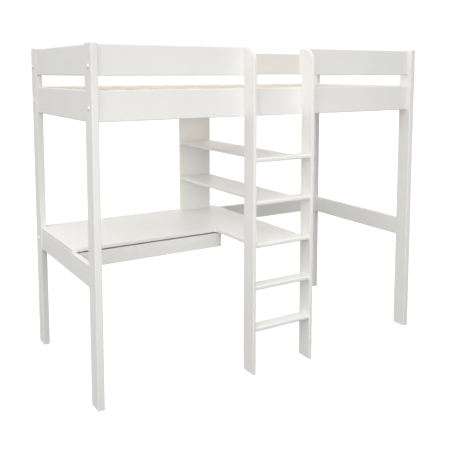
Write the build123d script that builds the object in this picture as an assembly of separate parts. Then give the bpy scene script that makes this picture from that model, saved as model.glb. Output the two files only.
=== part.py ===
from build123d import *
import os

# Loft bed with a desk, a shelf unit, a shallow drawer and an upright ladder.
# Millimetres, +Z up, +X to the right along the bed, -Y towards the ladder side.
# The origin is on the floor, in the middle of the whole object's outline.

# ---- driving dimensions ----
bed_length = 2084
bed_depth = 1000
post_height = 1753
post_width = 35
post_depth = 90
board = 18

rail_thickness = 26
side_rail_setback = 24
end_rail_setback = 5
guard_rail_bottom = 1603
guard_rail_top = 1748
bed_rail_bottom = 1387
bed_rail_top = 1535
desk_rail_bottom = 584
desk_rail_top = 695

ladder_width = 400
stile_thickness = 19
ladder_projection = 71
stile_top_radius = 82
stile_edge = 3
rung_count = 5
rung_pitch = 229
rung_thickness = 22
rung_depth = 72
rung_setback = 8
rung_dowel_spacing = 36
desk_rung = 3

desk_front_setback = 350
desk_back_setback = 30
desk_return_left = -180
desk_return_right = 162
desk_corner_radius = 20
desk_notch_gap = 1
desk_end_dowels = (90, 250, 430)
desk_back_dowels = (-900, -560, -240, 60)
desk_return_dowels = (-120, 0, 120)
desk_back_dowel_inset = 8

shelf_left = -126
shelf_right = 94
shelf_joint_inset = 60
panel_top_gap = 2

slat_count = 12
slat_width = 100
slat_thickness = 18
slat_end_gap = 2
slat_row_inset = 15
slat_sink = 18
ledger_depth = 35
ledger_height = 40
ledger_end_gap = 4
ledger_screw_pitch = 310
ledger_screw_pairs = 3

drawer_front_left = -1003
drawer_front_right = -144
drawer_front_bottom = 606
drawer_front_top = 687
drawer_length = 412
drawer_wall = 12
drawer_wall_bottom = 612
drawer_wall_height = 60
drawer_panel = 4
drawer_panel_height = 8
drawer_back_inset = 10
drawer_back_drop = 6
drawer_travel = 300
dado = 6
hanger_inset = 3
hanger_height = 76
hanger_gap = 4
hanger_spare_length = 20
hanger_dowel_inset = 40
runner_width = 13
runner_height = 35
runner_overlap = 100
runner_length = drawer_travel + runner_overlap
runner_sheet = 1.5
runner_channel_gap = 4.5
fixed_flange_gap = 3.5
moving_flange_gap = 4.5
runner_front_screw_inset = 30
runner_back_screw_inset = 50

dowel_radius = 4
dowel_length = 30
dowel_chamfer = 0.8
rail_dowel_inset = 30
low_dowel_inset = 24
guard_dowel_inset = 38
board_dowel_depth = 12
bolt_radius = 4
bolt_length = 74
bolt_tip_gap = 12
bolt_head_radius = 6.5
bolt_head_height = 6
bolt_head_sink = 1.5
bolt_head_gap = 0.5
bolt_socket = 5
bolt_socket_depth = 3.5
nut_radius = 6
nut_length = 16
nut_from_rail_end = 35
guard_bolt_height = 1646
bed_bolt_height = 1452
desk_bolt_height = 642
cap_radius = 10
cap_height = 5.5
cap_edge = 5
cap_plug_radius = 6.9
cap_plug_length = 1.3
wood_screw_radius = 2.25
wood_screw_length = 45
slat_screw_length = 35
ladder_screw_radius = 3
ladder_screw_length = 65
guard_screw_inset = 35
bed_screw_insets = (18, 54)
small_screw_radius = 1.7
small_screw_length = 12
screw_head_ratio = 2
screw_recess_ratio = 0.4
glide_radius = 8
glide_height = 5
glide_edge = 0.5
foot_gap = 1
fit = 0.1
overshoot = 1

post_edge = 5
rail_edge = 4
rail_end_edge = 3.5
rung_edge = 6
board_edge = 1.5
slat_edge = 2
post_end_edge = 2
drawer_front_edge = 2
drawer_wall_edge = 1

# ---- planes that the pieces share ----
left = -bed_length / 2
right = bed_length / 2
front = -(bed_depth + ladder_projection) / 2 + ladder_projection
back = front + bed_depth
post_inner_left = left + post_width
post_inner_right = right - post_width
end_rail_outer = bed_length / 2 - end_rail_setback
end_rail_middle = end_rail_outer - rail_thickness / 2
front_rail_outer = front + side_rail_setback
front_rail_inner = front_rail_outer + rail_thickness
back_rail_outer = back - side_rail_setback
back_rail_inner = back_rail_outer - rail_thickness
front_rail_middle = (front_rail_outer + front_rail_inner) / 2
back_rail_middle = (back_rail_outer + back_rail_inner) / 2

stile_outer = ladder_width / 2
stile_inner = stile_outer - stile_thickness
stile_front = front - ladder_projection
rung_front = stile_front + rung_setback
rung_back = rung_front + rung_depth

desk_top_height = desk_rail_top + board
desk_front = front + desk_front_setback
desk_back = back - desk_back_setback
slat_top = bed_rail_top - slat_sink
ledger_top = slat_top - slat_thickness
ledger_bottom = ledger_top - ledger_height
panel_back = back_rail_inner - ledger_depth
panel_front = panel_back - board

drawer_middle = (drawer_front_left + drawer_front_right) / 2
hanger_outer = (drawer_front_right - drawer_front_left) / 2 - hanger_inset
hanger_inner = hanger_outer - board
drawer_wall_outer = hanger_inner - runner_width
drawer_wall_inner = drawer_wall_outer - drawer_wall
drawer_box_front = desk_front + board
runner_front = drawer_box_front + hanger_gap
drawer_back_end = desk_front + drawer_length
runner_middle_height = drawer_wall_bottom + drawer_wall_height / 2

ALONG_X = Vector(1, 0, 0)
ALONG_Y = Vector(0, 1, 0)
ALONG_Z = Vector(0, 0, 1)

pieces = {}
groups = {
    "frame_bolts": [],
    "bolt_caps": [],
    "barrel_nuts": [],
    "dowels": [],
    "wood_screws": [],
    "runner_screws_fixed": [],
    "runner_screws_moving": [],
    "foot_glides": [],
}


# ---- basic shapes ----
def block(x_range, y_range, z_range):
    """A box between two X, two Y and two Z values."""
    size = [high - low for low, high in (x_range, y_range, z_range)]
    corner = (x_range[0], y_range[0], z_range[0])
    return Pos(*corner) * Box(*size, align=Align.MIN)


def plank(x_range, y_range, z_range, grain, radius):
    """A board whose four long edges, parallel to grain, are rounded."""
    body = block(x_range, y_range, z_range)
    return fillet(body.edges().filter_by(grain), radius)


def rail_board(x_range, y_range, z_range, grain):
    """A plank whose ends are eased too, which leaves a fine groove where it meets a post."""
    body = plank(x_range, y_range, z_range, grain, rail_edge)
    return fillet(body.faces().filter_by(grain).edges(), rail_end_edge)


def rod(start, direction, radius, length):
    """A cylinder that runs from start along direction."""
    plane = Plane(origin=start, z_dir=direction)
    return plane * Cylinder(radius, length, align=(Align.CENTER, Align.CENTER, Align.MIN))


def cut(name, tool):
    pieces[name] = pieces[name] - tool


# ---- joints between the wooden pieces ----
def dowel_joint(first, second, point, direction, depth=dowel_length / 2):
    """A dowel across the plane where two pieces meet; depth is how far it goes into the second."""
    point = Vector(*point)
    start = point - direction * (dowel_length - depth)
    hole_start = start - direction * (overshoot / 2)
    hole = rod(hole_start, direction, dowel_radius + fit, dowel_length + overshoot)
    cut(first, hole)
    cut(second, hole)
    dowel = rod(start, direction, dowel_radius, dowel_length)
    ends = dowel.edges().filter_by(GeomType.CIRCLE)
    groups["dowels"].append(chamfer(ends, dowel_chamfer))


def bolt_joint(post, rail, y, z, side, rail_inner):
    """A capped socket-head bolt through a post into a barrel nut; side is -1 left, +1 right."""
    inward = ALONG_X * -side
    mouth = Vector(side * bed_length / 2, y, z)
    recess = rod(mouth, inward, bolt_head_radius + bolt_head_gap, bolt_head_sink + bolt_head_height)
    shank_hole = rod(mouth, inward, bolt_radius + fit, bolt_length + bolt_tip_gap)
    cut(post, recess + shank_hole)
    cut(rail, shank_hole)
    head = rod(mouth + inward * bolt_head_sink, inward, bolt_head_radius, bolt_head_height)
    shank_start = mouth + inward * (bolt_head_sink + bolt_head_height)
    shank = rod(shank_start, inward, bolt_radius, bolt_length)
    socket_plane = Plane(origin=mouth + inward * bolt_head_sink, z_dir=inward)
    socket = extrude(socket_plane * RegularPolygon(bolt_socket / 2, 6), bolt_socket_depth)
    groups["frame_bolts"].append(head + shank - socket)
    bolt_cap(mouth, inward)

    nut_x = side * (bed_length / 2 - post_width - nut_from_rail_end)
    toward_inside = ALONG_Y if rail_inner > y else -ALONG_Y
    nut_far_end = Vector(nut_x, y, z) - toward_inside * (nut_length / 2)
    nut_hole = rod(nut_far_end, toward_inside, nut_radius + fit, rail_thickness)
    cut(rail, nut_hole)
    nut = rod(nut_far_end, toward_inside, nut_radius, nut_length)
    groups["barrel_nuts"].append(nut - shank_hole)


def bolt_cap(mouth, inward):
    """A domed plastic cap that plugs the recess over a bolt's head."""
    plug = rod(mouth, inward, cap_plug_radius, cap_plug_length)
    dome = rod(mouth, -inward, cap_radius, cap_height)
    crown = mouth - inward * cap_height
    outer_edge = dome.edges().filter_by(GeomType.CIRCLE).sort_by_distance(crown)[0]
    groups["bolt_caps"].append(fillet(outer_edge, cap_edge) + plug)


def screw(point, direction, radius, length):
    """A countersunk screw whose head is flush at point."""
    head_radius = radius * screw_head_ratio
    recess_width = radius * screw_recess_ratio
    shank = rod(point, direction, radius, length)
    plane = Plane(origin=point, z_dir=direction)
    head = plane * Cone(head_radius, radius, radius, align=(Align.CENTER, Align.CENTER, Align.MIN))
    recess_x = plane * Box(head_radius, recess_width, radius, align=Align.CENTER)
    recess_y = plane * Box(recess_width, head_radius, radius, align=Align.CENTER)
    return shank + head - recess_x - recess_y


def screw_joint(group, names, point, direction, radius, length):
    """A screw through the named pieces, with a clearance hole and a countersink."""
    point = Vector(*point)
    plane = Plane(origin=point, z_dir=direction)
    hole = rod(point, direction, radius + fit, length + overshoot)
    mouth_radius = radius * screw_head_ratio + fit
    sink = plane * Cone(mouth_radius, radius + fit, radius, align=(Align.CENTER, Align.CENTER, Align.MIN))
    for name in names:
        cut(name, hole + sink)
    groups[group].append(screw(point, direction, radius, length))


# ---- the two end frames ----
def make_post(x_range, y_range):
    body = plank(x_range, y_range, (foot_gap, post_height), Axis.Z, post_edge)
    return fillet(body.faces().sort_by(Axis.Z)[-1].edges(), post_end_edge)


def make_end_frames():
    for side_name, side in (("left", -1), ("right", 1)):
        post_x = sorted((side * bed_length / 2, side * (bed_length / 2 - post_width)))
        rail_x = sorted((side * end_rail_outer, side * (end_rail_outer - rail_thickness)))
        pieces[f"post_front_{side_name}"] = make_post(post_x, (front, front + post_depth))
        pieces[f"post_back_{side_name}"] = make_post(post_x, (back - post_depth, back))
        rail_y = (front + post_depth, back - post_depth)
        for rail, z_range in (
            ("end_guard_rail", (guard_rail_bottom, guard_rail_top)),
            ("end_bed_rail", (bed_rail_bottom, bed_rail_top)),
            ("end_desk_rail", (desk_rail_bottom, desk_rail_top)),
        ):
            name = f"{rail}_{side_name}"
            pieces[name] = rail_board(rail_x, rail_y, z_range, Axis.Y)
            for z in (z_range[0] + rail_dowel_inset, z_range[1] - rail_dowel_inset):
                x = side * end_rail_middle
                dowel_joint(f"post_front_{side_name}", name, (x, rail_y[0], z), ALONG_Y)
                dowel_joint(name, f"post_back_{side_name}", (x, rail_y[1], z), ALONG_Y)


# ---- the long rails, bolted between the end frames ----
def long_rail(name, x_range, y_range, z_range):
    pieces[name] = rail_board(x_range, y_range, z_range, Axis.X)


def fix_rail_end(rail, row, side, bolt_z, dowel_heights):
    """One bolt and its dowels at a rail's end; row is front or back, side is -1 or +1."""
    post = f"post_{row}_{'left' if side < 0 else 'right'}"
    y = front_rail_middle if row == "front" else back_rail_middle
    inner = front_rail_inner if row == "front" else back_rail_inner
    bolt_joint(post, rail, y, bolt_z, side, inner)
    end = side * (bed_length / 2 - post_width)
    for z in dowel_heights:
        dowel_joint(post, rail, (end, y, z), ALONG_X * -side)


def make_long_rails():
    whole = (post_inner_left, post_inner_right)
    front_y = (front_rail_outer, front_rail_inner)
    back_y = (back_rail_inner, back_rail_outer)
    guard_z = (guard_rail_bottom, guard_rail_top)
    bed_z = (bed_rail_bottom, bed_rail_top)
    long_rail("side_rail_front", whole, front_y, bed_z)
    long_rail("side_rail_back", whole, back_y, bed_z)
    long_rail("guard_rail_front_left", (post_inner_left, -stile_inner), front_y, guard_z)
    long_rail("guard_rail_front_right", (stile_inner, post_inner_right), front_y, guard_z)
    long_rail("guard_rail_back", whole, back_y, guard_z)
    long_rail("desk_rail_back", whole, back_y, (desk_rail_bottom, desk_rail_top))

    guard_dowels = (guard_rail_top - guard_dowel_inset,)
    bed_dowels = (bed_rail_bottom + low_dowel_inset, bed_rail_top - rail_dowel_inset)
    desk_dowels = (desk_rail_top - low_dowel_inset,)
    for side, front_guard in ((-1, "guard_rail_front_left"), (1, "guard_rail_front_right")):
        fix_rail_end("side_rail_front", "front", side, bed_bolt_height, bed_dowels)
        fix_rail_end("side_rail_back", "back", side, bed_bolt_height, bed_dowels)
        fix_rail_end(front_guard, "front", side, guard_bolt_height, guard_dowels)
        fix_rail_end("guard_rail_back", "back", side, guard_bolt_height, guard_dowels)
        fix_rail_end("desk_rail_back", "back", side, desk_bolt_height, desk_dowels)


# ---- the bed base: two ledgers and the slats across them ----
def make_bed_base():
    ledger_x = (post_inner_left + ledger_end_gap, post_inner_right - ledger_end_gap)
    ledger_z = (ledger_bottom, ledger_top)
    ledger_middle_z = (ledger_bottom + ledger_top) / 2
    front_ledger_y = (front_rail_inner, front_rail_inner + ledger_depth)
    back_ledger_y = (back_rail_inner - ledger_depth, back_rail_inner)
    pieces["slat_ledger_front"] = plank(ledger_x, front_ledger_y, ledger_z, Axis.X, board_edge)
    pieces["slat_ledger_back"] = plank(ledger_x, back_ledger_y, ledger_z, Axis.X, board_edge)

    for step in range(-ledger_screw_pairs, ledger_screw_pairs + 1):
        x = step * ledger_screw_pitch
        front_point = (x, front_ledger_y[1], ledger_middle_z)
        back_point = (x, back_ledger_y[0], ledger_middle_z)
        size = (wood_screw_radius, wood_screw_length)
        screw_joint("wood_screws", ("slat_ledger_front", "side_rail_front"), front_point, -ALONG_Y, *size)
        screw_joint("wood_screws", ("slat_ledger_back", "side_rail_back"), back_point, ALONG_Y, *size)

    slat_y = (front_rail_inner + slat_end_gap, back_rail_inner - slat_end_gap)
    first_slat = left + end_rail_setback + rail_thickness + slat_row_inset + slat_width / 2
    slat_pitch = -2 * first_slat / (slat_count - 1)
    for index in range(slat_count):
        middle = first_slat + index * slat_pitch
        slat_x = (middle - slat_width / 2, middle + slat_width / 2)
        name = f"slat_{index + 1:02d}"
        pieces[name] = plank(slat_x, slat_y, (ledger_top, slat_top), Axis.Y, slat_edge)
        for ledger, ledger_y in (("front", front_ledger_y), ("back", back_ledger_y)):
            point = (middle, sum(ledger_y) / 2, slat_top)
            names = (name, f"slat_ledger_{ledger}")
            screw_joint("wood_screws", names, point, -ALONG_Z, wood_screw_radius, slat_screw_length)


# ---- the ladder ----
def make_stile(x_range):
    body = block(x_range, (stile_front, front_rail_outer), (foot_gap, guard_rail_top))
    top_edges = body.edges().filter_by(Axis.X).sort_by(Axis.Z)[-2:]
    body = fillet(top_edges.sort_by(Axis.Y)[0], stile_top_radius)
    side_outlines = body.faces().filter_by(Axis.X).edges()
    return fillet(side_outlines, stile_edge)


def rung_top(number):
    """The height of a rung's upper face; rungs are counted from the floor."""
    return desk_top_height + (number - desk_rung) * rung_pitch


def make_ladder():
    pieces["ladder_stile_left"] = make_stile((-stile_outer, -stile_inner))
    pieces["ladder_stile_right"] = make_stile((stile_inner, stile_outer))
    rung_middle = (rung_front + rung_back) / 2
    dowel_y = (rung_middle - rung_dowel_spacing / 2, rung_middle + rung_dowel_spacing / 2)
    for number in range(1, rung_count + 1):
        top = rung_top(number)
        name = f"ladder_rung_{number}"
        body = block((-stile_inner, stile_inner), (rung_front, rung_back), (top - rung_thickness, top))
        long_edges = body.edges().filter_by(Axis.X).sort_by(Axis.Y)
        body = fillet(long_edges[:2], rung_edge)
        back_edges = body.edges().filter_by(Axis.X).sort_by(Axis.Y)[-2:]
        pieces[name] = fillet(back_edges, board_edge)
        for y in dowel_y:
            z = top - rung_thickness / 2
            dowel_joint(name, "ladder_stile_left", (-stile_inner, y, z), -ALONG_X, board_dowel_depth)
            dowel_joint(name, "ladder_stile_right", (stile_inner, y, z), ALONG_X, board_dowel_depth)

    stile_middle = stile_outer - stile_thickness / 2
    guard_heights = (guard_rail_bottom + guard_screw_inset, guard_rail_top - guard_screw_inset)
    bed_heights = [bed_rail_bottom + inset for inset in bed_screw_insets]
    size = (ladder_screw_radius, ladder_screw_length)
    for side_name, side in (("left", -1), ("right", 1)):
        stile = f"ladder_stile_{side_name}"
        guard = f"guard_rail_front_{side_name}"
        for rail, heights in ((guard, guard_heights), ("side_rail_front", bed_heights)):
            for z in heights:
                point = (side * stile_middle, front_rail_inner, z)
                screw_joint("wood_screws", (rail, stile), point, -ALONG_Y, *size)


# ---- the desk and its shelf unit ----
def make_desk():
    notch_x = post_inner_left + desk_notch_gap
    notch_y = back - post_depth - desk_notch_gap
    outline = Polygon(
        (-end_rail_outer, desk_front),
        (desk_return_left, desk_front),
        (desk_return_left, rung_back),
        (desk_return_right, rung_back),
        (desk_return_right, desk_back),
        (notch_x, desk_back),
        (notch_x, notch_y),
        (-end_rail_outer, notch_y),
        align=None,
    )
    body = extrude(Pos(0, 0, desk_rail_top) * outline, board)
    uprights = body.edges().filter_by(Axis.Z)
    inner_corner = uprights.sort_by_distance((desk_return_left, desk_front, desk_rail_top))[0]
    body = fillet(inner_corner, desk_corner_radius)
    body = fillet(body.faces().filter_by(Axis.Z).edges(), board_edge)
    pieces["desk_top"] = body

    for distance in desk_end_dowels:
        point = (-end_rail_middle, desk_front + distance, desk_rail_top)
        dowel_joint("end_desk_rail_left", "desk_top", point, ALONG_Z, board_dowel_depth)
    for x in desk_back_dowels:
        point = (x, back_rail_inner + desk_back_dowel_inset, desk_rail_top)
        dowel_joint("desk_rail_back", "desk_top", point, ALONG_Z, board_dowel_depth)
    board_middle = desk_top_height - board / 2
    for x in desk_return_dowels:
        dowel_joint("desk_top", f"ladder_rung_{desk_rung}", (x, rung_back, board_middle), -ALONG_Y)


def make_shelves():
    shelf_x = (shelf_left, shelf_right)
    panel_z = (desk_top_height, ledger_top - panel_top_gap)
    pieces["shelf_panel"] = plank(shelf_x, (panel_front, panel_back), panel_z, Axis.Z, board_edge)
    joint_x = (shelf_left + shelf_joint_inset, shelf_right - shelf_joint_inset)
    size = (wood_screw_radius, wood_screw_length)
    for x in joint_x:
        foot = (x, (panel_front + panel_back) / 2, desk_top_height)
        dowel_joint("shelf_panel", "desk_top", foot, -ALONG_Z, board_dowel_depth)
        head = (x, panel_front, (ledger_bottom + ledger_top) / 2)
        screw_joint("wood_screws", ("shelf_panel", "slat_ledger_back"), head, ALONG_Y, *size)
    for name, rung in (("shelf_lower", desk_rung + 1), ("shelf_upper", desk_rung + 2)):
        top = rung_top(rung)
        pieces[name] = plank(shelf_x, (rung_back, panel_front), (top - board, top), Axis.Y, board_edge)
        middle = top - board / 2
        for x in joint_x:
            dowel_joint(name, f"ladder_rung_{rung}", (x, rung_back, middle), -ALONG_Y)
            rear = (x, panel_back, middle)
            screw_joint("wood_screws", ("shelf_panel", name), rear, -ALONG_Y, *size)


# ---- the drawer under the desk ----
def make_hangers():
    y_range = (runner_front, runner_front + runner_length + hanger_spare_length)
    z_range = (desk_rail_top - hanger_height, desk_rail_top)
    dowel_y = (y_range[0] + hanger_dowel_inset, sum(y_range) / 2, y_range[1] - hanger_dowel_inset)
    for side_name, side in (("left", -1), ("right", 1)):
        x_range = sorted((drawer_middle + side * hanger_outer, drawer_middle + side * hanger_inner))
        name = f"drawer_hanger_{side_name}"
        pieces[name] = plank(x_range, y_range, z_range, Axis.Y, board_edge)
        for y in dowel_y:
            point = (sum(x_range) / 2, y, desk_rail_top)
            dowel_joint(name, "desk_top", point, ALONG_Z, board_dowel_depth)


def channel(face, direction, depth, y_range, z_range):
    """A sheet steel channel whose web lies on the plane x = face and whose flanges run along direction."""
    low, high = z_range
    web = sorted((face, face + direction * runner_sheet))
    flange = sorted((face, face + direction * depth))
    body = block(web, y_range, z_range)
    body += block(flange, y_range, (low, low + runner_sheet))
    return body + block(flange, y_range, (high - runner_sheet, high))


def make_runners():
    """Each runner is an outer channel on the hanger and an inner channel on the drawer's side."""
    y_range = (runner_front, runner_front + runner_length)
    low = runner_middle_height - runner_height / 2
    high = runner_middle_height + runner_height / 2
    inner_z = (low + runner_channel_gap, high - runner_channel_gap)
    screw_y = (
        y_range[0] + runner_front_screw_inset,
        sum(y_range) / 2,
        y_range[1] - runner_back_screw_inset,
    )
    size = (small_screw_radius, small_screw_length)
    for side_name, side in (("left", -1), ("right", 1)):
        fixed = f"runner_fixed_{side_name}"
        moving = f"runner_moving_{side_name}"
        hanger_face = drawer_middle + side * hanger_inner
        drawer_face = drawer_middle + side * drawer_wall_outer
        pieces[fixed] = channel(hanger_face, -side, runner_width - fixed_flange_gap, y_range, (low, high))
        pieces[moving] = channel(drawer_face, side, runner_width - moving_flange_gap, y_range, inner_z)
        for y in screw_y:
            point = (hanger_face - side * runner_sheet, y, runner_middle_height)
            names = (fixed, f"drawer_hanger_{side_name}")
            screw_joint("runner_screws_fixed", names, point, ALONG_X * side, *size)
            point = (drawer_face + side * runner_sheet, y, runner_middle_height)
            names = (moving, f"drawer_side_{side_name}")
            screw_joint("runner_screws_moving", names, point, -ALONG_X * side, *size)


def make_drawer():
    wall_z = (drawer_wall_bottom, drawer_wall_bottom + drawer_wall_height)
    groove_bottom = drawer_wall_bottom + drawer_panel_height
    panel_z = (groove_bottom, groove_bottom + drawer_panel)
    groove_z = (groove_bottom, groove_bottom + drawer_panel + 2 * fit)
    inner_x = (drawer_middle - drawer_wall_inner, drawer_middle + drawer_wall_inner)
    panel_x = (inner_x[0] - dado + fit, inner_x[1] + dado - fit)
    groove_x = (inner_x[0] - dado, inner_x[1] + dado)
    back_y = (drawer_back_end - drawer_back_inset - drawer_wall, drawer_back_end - drawer_back_inset)
    panel_y = (drawer_box_front - dado + fit, back_y[1])
    groove = block(groove_x, (drawer_box_front - dado, drawer_back_end + overshoot), groove_z)

    front_body = block(
        (drawer_front_left, drawer_front_right),
        (desk_front, drawer_box_front),
        (drawer_front_bottom, drawer_front_top),
    )
    front_body = fillet(front_body.faces().sort_by(Axis.Y)[0].edges(), drawer_front_edge)
    pieces["drawer_front"] = front_body - groove
    for side_name, side in (("left", -1), ("right", 1)):
        wall_face = drawer_middle + side * drawer_wall_inner
        wall_x = sorted((wall_face, wall_face + side * drawer_wall))
        name = f"drawer_side_{side_name}"
        wall = plank(wall_x, (drawer_box_front - dado, drawer_back_end), wall_z, Axis.Y, drawer_wall_edge)
        cut("drawer_front", block(wall_x, (drawer_box_front - dado, drawer_box_front), wall_z))
        back_slot = block(sorted((wall_face, wall_face + side * dado)), back_y, wall_z)
        pieces[name] = wall - groove - back_slot
    pieces["drawer_back"] = block(panel_x, back_y, (groove_z[1], wall_z[1] - drawer_back_drop))
    pieces["drawer_bottom"] = block(panel_x, panel_y, panel_z)


# ---- the feet ----
def make_glides():
    post_y = (front + post_depth / 2, back - post_depth / 2)
    feet = []
    for side_name, side in (("left", -1), ("right", 1)):
        post_x = side * (bed_length - post_width) / 2
        feet.append((f"post_front_{side_name}", (post_x, post_y[0], 0)))
        feet.append((f"post_back_{side_name}", (post_x, post_y[1], 0)))
        stile_x = side * (stile_outer - stile_thickness / 2)
        feet.append((f"ladder_stile_{side_name}", (stile_x, (stile_front + front_rail_outer) / 2, 0)))
    for name, point in feet:
        cut(name, rod(point, ALONG_Z, glide_radius + fit, glide_height))
        glide = rod(point, ALONG_Z, glide_radius, glide_height)
        groups["foot_glides"].append(fillet(glide.edges().sort_by(Axis.Z)[0], glide_edge))


def main():
    make_end_frames()
    make_long_rails()
    make_bed_base()
    make_ladder()
    make_desk()
    make_shelves()
    make_hangers()
    make_drawer()
    make_runners()
    make_glides()
    os.makedirs("parts", exist_ok=True)
    for name, body in pieces.items():
        export_step(body, f"parts/{name}.step")
    for name, bodies in groups.items():
        export_step(Compound(children=bodies), f"parts/{name}.step")


main()
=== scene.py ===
"""Looks of a white loft bed with a desk: materials, stage, lights and camera.

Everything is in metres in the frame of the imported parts. +X is to the right along the bed and -Y is
towards the ladder side.
"""
import math

import bmesh
import bpy
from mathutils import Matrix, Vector


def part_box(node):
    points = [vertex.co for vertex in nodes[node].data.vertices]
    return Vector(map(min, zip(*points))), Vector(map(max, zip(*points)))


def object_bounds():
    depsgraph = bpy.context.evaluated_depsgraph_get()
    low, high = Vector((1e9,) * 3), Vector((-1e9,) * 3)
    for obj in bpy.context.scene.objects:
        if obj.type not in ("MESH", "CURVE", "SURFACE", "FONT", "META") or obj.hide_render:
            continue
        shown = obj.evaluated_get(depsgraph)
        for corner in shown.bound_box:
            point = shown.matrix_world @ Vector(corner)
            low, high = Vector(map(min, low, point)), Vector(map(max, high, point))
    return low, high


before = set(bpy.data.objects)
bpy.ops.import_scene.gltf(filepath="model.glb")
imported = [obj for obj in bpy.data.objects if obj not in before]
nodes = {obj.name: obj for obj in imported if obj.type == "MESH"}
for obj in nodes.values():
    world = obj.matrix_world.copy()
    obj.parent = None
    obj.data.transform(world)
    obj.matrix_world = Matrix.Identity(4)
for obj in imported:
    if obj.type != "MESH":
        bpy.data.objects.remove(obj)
cad_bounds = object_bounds()

# ---- camera, measured from the front left post's outer bottom corner ----
CAMERA_OFFSET = Vector((-1.026, -2.8625, 1.619))
CAMERA_YAW = math.radians(31.55)
CAMERA_PITCH = math.radians(6)
CAMERA_SHIFT = -0.1918
CAMERA_LENS = 51.48
SENSOR = 36.0
CLIP_NEAR = 0.05
CLIP_FAR = 200

# ---- colours, linear ----
WHITE_PAINT = (0.885, 0.88, 0.86)
WHITE_PAINT_THIN = (0.865, 0.855, 0.825)
PAINT_PORE = (0.74, 0.73, 0.69)
PINE_LIGHT = (0.88, 0.79, 0.66)
PINE_MIDDLE = (0.83, 0.71, 0.54)
PINE_DARK = (0.70, 0.54, 0.36)
PINE_KNOT = (0.36, 0.20, 0.10)
BEECH_LIGHT = (0.62, 0.42, 0.25)
BEECH_DARK = (0.48, 0.30, 0.16)
HARDBOARD_FACE = (0.78, 0.775, 0.75)
HARDBOARD_FACE_DULL = (0.74, 0.73, 0.70)
HARDBOARD_BACK = (0.26, 0.15, 0.075)
HARDBOARD_BACK_LIGHT = (0.38, 0.24, 0.13)
ZINC_LIGHT = (0.78, 0.79, 0.80)
ZINC_DARK = (0.55, 0.56, 0.58)
NYLON = (0.91, 0.91, 0.89)
NYLON_WORN = (0.82, 0.81, 0.78)

# ---- studio light ----
# Broad lobes of light from all round: azimuth (0 is the front, 90 the right), elevation and strength.
GLOW_LOBES = (
    (0, 50, 0.39),
    (90, 12, 1.33),
    (135, -30, 1.05),
    (135, 12, 1.42),
    (225, 12, 1.01),
    (225, 50, 0.85),
    (315, 12, 0.89),
    (315, 50, 2.06),
)
GLOW_SHARPNESS = 4
# Softboxes: place from the middle of the bed, and power in watts.
SOFTBOXES = (
    ("front", (-0.2, -2.2, 0.3), 3.0),
    ("upper_front", (0.2, -2.2, 1.6), 2.6),
    ("left_front", (-1.2, -2.2, 0.3), 9.4),
    ("right_front", (1.2, -2.2, 0.3), 2.7),
)
SOFTBOX_SIZE = (1.2, 1.0)

# ---- stage ----
FLOOR_REACH = 40
FLOOR_GLOW = 0.84
FLOOR_MATT = (0.35, 0.35, 0.35, 1)
BACKDROP_RADIUS = 48
BACKDROP_GLOW = 1.02
WHITE = (1, 1, 1, 1)

AXES = "XYZ"


# ---- shader node helpers ----
def new_material(name):
    """An empty node material with a Principled shader. Returns the material, its tree and the shader."""
    material = bpy.data.materials.new(name)
    material.use_nodes = True
    tree = material.node_tree
    tree.nodes.clear()
    output = tree.nodes.new("ShaderNodeOutputMaterial")
    shader = tree.nodes.new("ShaderNodeBsdfPrincipled")
    tree.links.new(shader.outputs["BSDF"], output.inputs["Surface"])
    return material, tree, shader


def add(tree, kind, inputs=None, output=0, **settings):
    """Adds a shader node and returns one of its outputs. An input is a socket to link or a constant."""
    made = tree.nodes.new("ShaderNode" + kind)
    for key, value in settings.items():
        setattr(made, key, value)
    for key, value in (inputs or {}).items():
        connect(tree, made.inputs[key], value)
    return made.outputs[output]


def connect(tree, socket, value):
    if isinstance(value, bpy.types.NodeSocket):
        tree.links.new(value, socket)
    else:
        socket.default_value = value


def ramp(tree, factor, stops):
    """A colour ramp; stops are (position, linear colour)."""
    made = tree.nodes.new("ShaderNodeValToRGB")
    tree.links.new(factor, made.inputs["Fac"])
    elements = made.color_ramp.elements
    while len(elements) < len(stops):
        elements.new(0.5)
    for element, (position, colour) in zip(elements, stops):
        element.position = position
        element.color = (*colour, 1.0)
    return made.outputs["Color"]


def spread(tree, value, low, high):
    """Maps a 0 to 1 value to the range from low to high."""
    return add(tree, "MapRange", {"Value": value, "To Min": low, "To Max": high})


def combine(tree, operation, first, second):
    return add(tree, "Math", {0: first, 1: second}, operation=operation)


def mix_colours(tree, factor, first, second):
    made = tree.nodes.new("ShaderNodeMix")
    made.data_type = "RGBA"
    for key, value in ((0, factor), (6, first), (7, second)):
        is_colour = not isinstance(value, (float, bpy.types.NodeSocket))
        connect(tree, made.inputs[key], (*value, 1) if is_colour else value)
    return made.outputs[2]


def noise(tree, vector, scale, detail=2.0, roughness=0.5):
    inputs = {"Vector": vector, "Scale": scale, "Detail": detail, "Roughness": roughness}
    return add(tree, "TexNoise", inputs)


def grain_space(tree, axis, stretch):
    """Object coordinates, squeezed along the grain so that patterns come out long in that direction."""
    place = add(tree, "TexCoord", output="Object")
    scale = [1.0, 1.0, 1.0]
    scale[axis] = 1.0 / stretch
    return add(tree, "Mapping", {"Vector": place, "Scale": scale})


def bump(tree, height, strength, distance):
    return add(tree, "Bump", {"Height": height, "Strength": strength, "Distance": distance})


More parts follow.
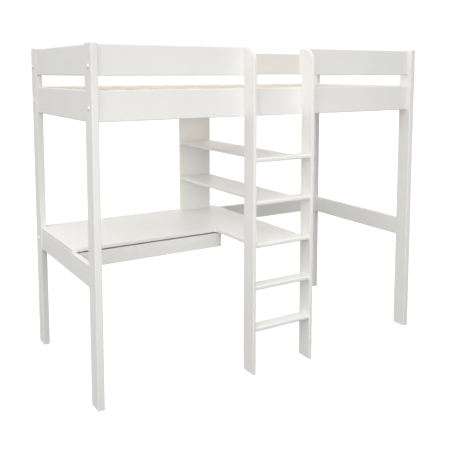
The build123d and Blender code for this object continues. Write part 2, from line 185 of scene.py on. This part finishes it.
# ---- materials ----
def white_paint(axis):
    """Satin white lacquer over pine: grain and pores show through faintly, with a fine sprayed texture."""
    material, tree, shader = new_material(f"white_paint_{AXES[axis]}")
    along = grain_space(tree, axis, 14)
    place = add(tree, "TexCoord", output="Object")
    warp = noise(tree, along, 9, 2)
    rings = add(
        tree,
        "TexWave",
        {
            "Vector": along,
            "Scale": 14,
            "Distortion": 9,
            "Detail": 2,
            "Detail Scale": 1.2,
            "Phase Offset": warp,
        },
        output="Fac",
        bands_direction=AXES[(axis + 1) % 3],
    )
    fibres = noise(tree, along, 420, 4, 0.65)
    spray = noise(tree, place, 900, 2, 0.5)
    patches = noise(tree, place, 4.5, 3, 0.55)
    pores = add(tree, "MapRange", {"Value": fibres, "From Min": 0.62, "From Max": 0.75})

    tone = ramp(tree, patches, ((0.30, WHITE_PAINT_THIN), (0.62, WHITE_PAINT)))
    thin = combine(tree, "MULTIPLY", rings, 0.22)
    tone = mix_colours(tree, thin, tone, WHITE_PAINT_THIN)
    specks = combine(tree, "MULTIPLY", pores, 0.35)
    connect(tree, shader.inputs["Base Color"], mix_colours(tree, specks, tone, PAINT_PORE))
    connect(tree, shader.inputs["Roughness"], spread(tree, patches, 0.36, 0.52))

    height = combine(tree, "MULTIPLY", rings, 0.55)
    height = combine(tree, "ADD", height, fibres)
    height = combine(tree, "SUBTRACT", height, pores)
    grain = bump(tree, height, 0.22, 0.0006)
    texture = add(tree, "Bump", {"Height": spray, "Strength": 0.10, "Distance": 0.0003, "Normal": grain})
    connect(tree, shader.inputs["Normal"], texture)
    shader.inputs["Coat Weight"].default_value = 0.12
    shader.inputs["Coat Roughness"].default_value = 0.28
    return material


def bare_wood(name, axis, colours, ring_scale, knots):
    """Planed bare wood, with growth rings, fibres and, in pine, small knots."""
    light, middle, dark = colours
    material, tree, shader = new_material(f"{name}_{AXES[axis]}")
    along = grain_space(tree, axis, 16)
    place = add(tree, "TexCoord", output="Object")
    warp = noise(tree, along, 7, 3)
    rings = add(
        tree,
        "TexWave",
        {"Vector": along, "Scale": ring_scale, "Distortion": 11, "Detail": 3, "Phase Offset": warp},
        output="Fac",
        bands_direction=AXES[(axis + 1) % 3],
        wave_profile="SAW",
    )
    fibres = noise(tree, along, 500, 4, 0.7)
    patches = noise(tree, place, 6, 3)
    tone = ramp(tree, rings, ((0.0, light), (0.62, middle), (0.93, dark), (1.0, light)))
    tone = mix_colours(tree, 0.5, tone, light)
    tone = mix_colours(tree, combine(tree, "MULTIPLY", fibres, 0.30), tone, dark)
    tone = mix_colours(tree, spread(tree, patches, 0.0, 0.35), tone, middle)
    if knots:
        squeezed = grain_space(tree, axis, 1.9)
        cell_inputs = {"Vector": squeezed, "Scale": 5.2, "Randomness": 1.0}
        cells = add(tree, "TexVoronoi", cell_inputs, output="Distance")
        knot = add(tree, "MapRange", {"Value": cells, "From Min": 0.10, "From Max": 0.04})
        tone = mix_colours(tree, combine(tree, "MULTIPLY", knot, 0.75), tone, PINE_KNOT)
    connect(tree, shader.inputs["Base Color"], tone)
    connect(tree, shader.inputs["Roughness"], spread(tree, fibres, 0.50, 0.72))
    height = combine(tree, "ADD", combine(tree, "MULTIPLY", rings, 0.4), fibres)
    connect(tree, shader.inputs["Normal"], bump(tree, height, 0.30, 0.0006))
    return material


def hardboard():
    """Thin hardboard: white laminate above, brown mesh-marked fibre below and on the edges."""
    material, tree, shader = new_material("hardboard")
    place = add(tree, "TexCoord", output="Object")
    normal = add(tree, "NewGeometry", output="Normal")
    up = add(tree, "SeparateXYZ", {"Vector": normal}, output="Z")
    is_face = add(tree, "MapRange", {"Value": up, "From Min": 0.5, "From Max": 0.6})
    fibre = noise(tree, place, 300, 5, 0.7)
    patches = noise(tree, place, 12, 3)
    weave_a = add(tree, "TexWave", {"Vector": place, "Scale": 180}, output="Fac", bands_direction="X")
    weave_b = add(tree, "TexWave", {"Vector": place, "Scale": 180}, output="Fac", bands_direction="Y")
    weave = combine(tree, "MULTIPLY", weave_a, weave_b)
    brown = ramp(tree, fibre, ((0.3, HARDBOARD_BACK), (0.7, HARDBOARD_BACK_LIGHT)))
    white = ramp(tree, patches, ((0.3, HARDBOARD_FACE), (0.7, HARDBOARD_FACE_DULL)))
    connect(tree, shader.inputs["Base Color"], mix_colours(tree, is_face, brown, white))
    connect(tree, shader.inputs["Roughness"], spread(tree, is_face, 0.8, 0.38))
    shown = combine(tree, "MULTIPLY", weave, combine(tree, "SUBTRACT", 1.0, is_face))
    height = combine(tree, "ADD", shown, combine(tree, "MULTIPLY", fibre, 0.25))
    connect(tree, shader.inputs["Normal"], bump(tree, height, 0.3, 0.0005))
    return material


def zinc_steel():
    """Zinc-plated steel, with a fine drawn texture and dull blotches."""
    material, tree, shader = new_material("zinc_steel")
    place = add(tree, "TexCoord", output="Object")
    fine = noise(tree, place, 2600, 3, 0.6)
    blotches = noise(tree, place, 120, 3, 0.6)
    connect(tree, shader.inputs["Base Color"], ramp(tree, blotches, ((0.3, ZINC_DARK), (0.65, ZINC_LIGHT))))
    connect(tree, shader.inputs["Roughness"], spread(tree, blotches, 0.24, 0.46))
    connect(tree, shader.inputs["Normal"], bump(tree, fine, 0.15, 0.0001))
    shader.inputs["Metallic"].default_value = 1.0
    return material


def nylon():
    """Moulded white nylon with a matt eroded texture and scuffed patches."""
    material, tree, shader = new_material("nylon")
    place = add(tree, "TexCoord", output="Object")
    eroded = noise(tree, place, 1800, 2)
    scuffs = noise(tree, place, 160, 4, 0.7)
    connect(tree, shader.inputs["Base Color"], ramp(tree, scuffs, ((0.35, NYLON), (0.75, NYLON_WORN))))
    connect(tree, shader.inputs["Roughness"], spread(tree, scuffs, 0.42, 0.7))
    connect(tree, shader.inputs["Normal"], bump(tree, eroded, 0.2, 0.0002))
    shader.inputs["Subsurface Weight"].default_value = 0.15
    shader.inputs["Subsurface Radius"].default_value = (0.002, 0.002, 0.002)
    return material


def dress_cad_nodes():
    """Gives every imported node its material, with the grain along its longest side."""
    pine_colours = (PINE_LIGHT, PINE_MIDDLE, PINE_DARK)
    beech_colours = (BEECH_LIGHT, BEECH_LIGHT, BEECH_DARK)
    makers = {
        "white_wood": white_paint,
        "pine": lambda axis: bare_wood("pine", axis, pine_colours, 26, True),
        "beech": lambda axis: bare_wood("beech", axis, beech_colours, 60, False),
        "hardboard": lambda axis: hardboard(),
        "zinc_steel": lambda axis: zinc_steel(),
        "nylon": lambda axis: nylon(),
    }
    isotropic = ("hardboard", "zinc_steel", "nylon")
    made = {}
    for name, node in nodes.items():
        slot = slot_of(name)
        low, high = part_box(name)
        size = high - low
        axis = 0 if slot in isotropic else max(range(3), key=lambda i: size[i])
        if (slot, axis) not in made:
            made[slot, axis] = makers[slot](axis)
        node.data.materials.clear()
        node.data.materials.append(made[slot, axis])


def slot_of(name):
    """The record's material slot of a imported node, which its imported material is named after."""
    return nodes[name].data.materials[0].name.split(".")[0]


# ---- stage, light and camera ----
def stage_object(name, mesh):
    """Links a stage piece with an empty material; returns it, the material's tree and its surface input."""
    material = bpy.data.materials.new(f"{name}_white")
    material.use_nodes = True
    tree = material.node_tree
    tree.nodes.clear()
    output = tree.nodes.new("ShaderNodeOutputMaterial")
    mesh.materials.append(material)
    piece = bpy.data.objects.new(name, mesh)
    bpy.context.scene.collection.objects.link(piece)
    return piece, tree, output.inputs["Surface"]


def make_stage():
    """A pale floor and a white backdrop, neither of which lights the bed."""
    mesh = bpy.data.meshes.new("floor")
    corners = [(x * FLOOR_REACH, y * FLOOR_REACH, 0) for x, y in ((-1, -1), (1, -1), (1, 1), (-1, 1))]
    mesh.from_pydata(corners, [], [(0, 1, 2, 3)])
    floor, tree, surface = stage_object("floor", mesh)
    glow = add(tree, "Emission", {"Color": WHITE, "Strength": FLOOR_GLOW})
    matt = add(tree, "BsdfDiffuse", {"Color": FLOOR_MATT})
    tree.links.new(add(tree, "AddShader", {0: glow, 1: matt}), surface)
    for ray in ("diffuse", "glossy", "shadow"):
        setattr(floor, f"visible_{ray}", False)

    mesh = bpy.data.meshes.new("backdrop")
    ball = bmesh.new()
    bmesh.ops.create_icosphere(ball, subdivisions=3, radius=BACKDROP_RADIUS)
    ball.to_mesh(mesh)
    ball.free()
    backdrop, tree, surface = stage_object("backdrop", mesh)
    tree.links.new(add(tree, "Emission", {"Color": WHITE, "Strength": BACKDROP_GLOW}), surface)
    for ray in ("diffuse", "glossy", "transmission", "volume_scatter", "shadow"):
        setattr(backdrop, f"visible_{ray}", False)


def make_world():
    """Soft light from all round, as a sum of broad lobes."""
    world = bpy.data.worlds.new("studio")
    bpy.context.scene.world = world
    world.use_nodes = True
    tree = world.node_tree
    tree.nodes.clear()
    direction = add(tree, "TexCoord", output="Generated")
    total = None
    for azimuth, elevation, strength in GLOW_LOBES:
        a, e = math.radians(azimuth), math.radians(elevation)
        toward = (math.sin(a) * math.cos(e), -math.cos(a) * math.cos(e), math.sin(e))
        facing = add(tree, "VectorMath", {0: direction, 1: toward}, output="Value", operation="DOT_PRODUCT")
        facing = combine(tree, "MAXIMUM", facing, 0.0)
        lobe = combine(tree, "MULTIPLY", combine(tree, "POWER", facing, GLOW_SHARPNESS), strength)
        total = lobe if total is None else combine(tree, "ADD", total, lobe)
    light = add(tree, "Background", {"Strength": total})
    output = tree.nodes.new("ShaderNodeOutputWorld")
    tree.links.new(light, output.inputs["Surface"])


def softbox(name, place, target, power):
    light = bpy.data.lights.new(name, "AREA")
    light.shape = "RECTANGLE"
    light.size, light.size_y = SOFTBOX_SIZE
    light.energy = power
    lamp = bpy.data.objects.new(name, light)
    lamp.location = place
    aim = Vector(target) - Vector(place)
    lamp.rotation_euler = aim.to_track_quat("-Z", "Y").to_euler()
    lamp.visible_camera = False
    bpy.context.scene.collection.objects.link(lamp)


def make_lights():
    middle = (cad_bounds[0] + cad_bounds[1]) / 2
    make_world()
    for name, offset, power in SOFTBOXES:
        softbox(name, middle + Vector(offset), middle, power)


def make_camera():
    low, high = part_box("post_front_left")
    corner = Vector((low.x, low.y, 0))
    camera_data = bpy.data.cameras.new("camera")
    camera_data.sensor_width = SENSOR
    camera_data.lens = CAMERA_LENS
    camera_data.shift_y = CAMERA_SHIFT
    camera_data.clip_start = CLIP_NEAR
    camera_data.clip_end = CLIP_FAR
    camera = bpy.data.objects.new("camera", camera_data)
    camera.location = corner + CAMERA_OFFSET
    camera.rotation_euler = (math.pi / 2 - CAMERA_PITCH, 0, -CAMERA_YAW)
    bpy.context.scene.collection.objects.link(camera)
    bpy.context.scene.camera = camera
    bpy.context.scene.view_settings.view_transform = "Standard"


dress_cad_nodes()
make_stage()
make_lights()
make_camera()
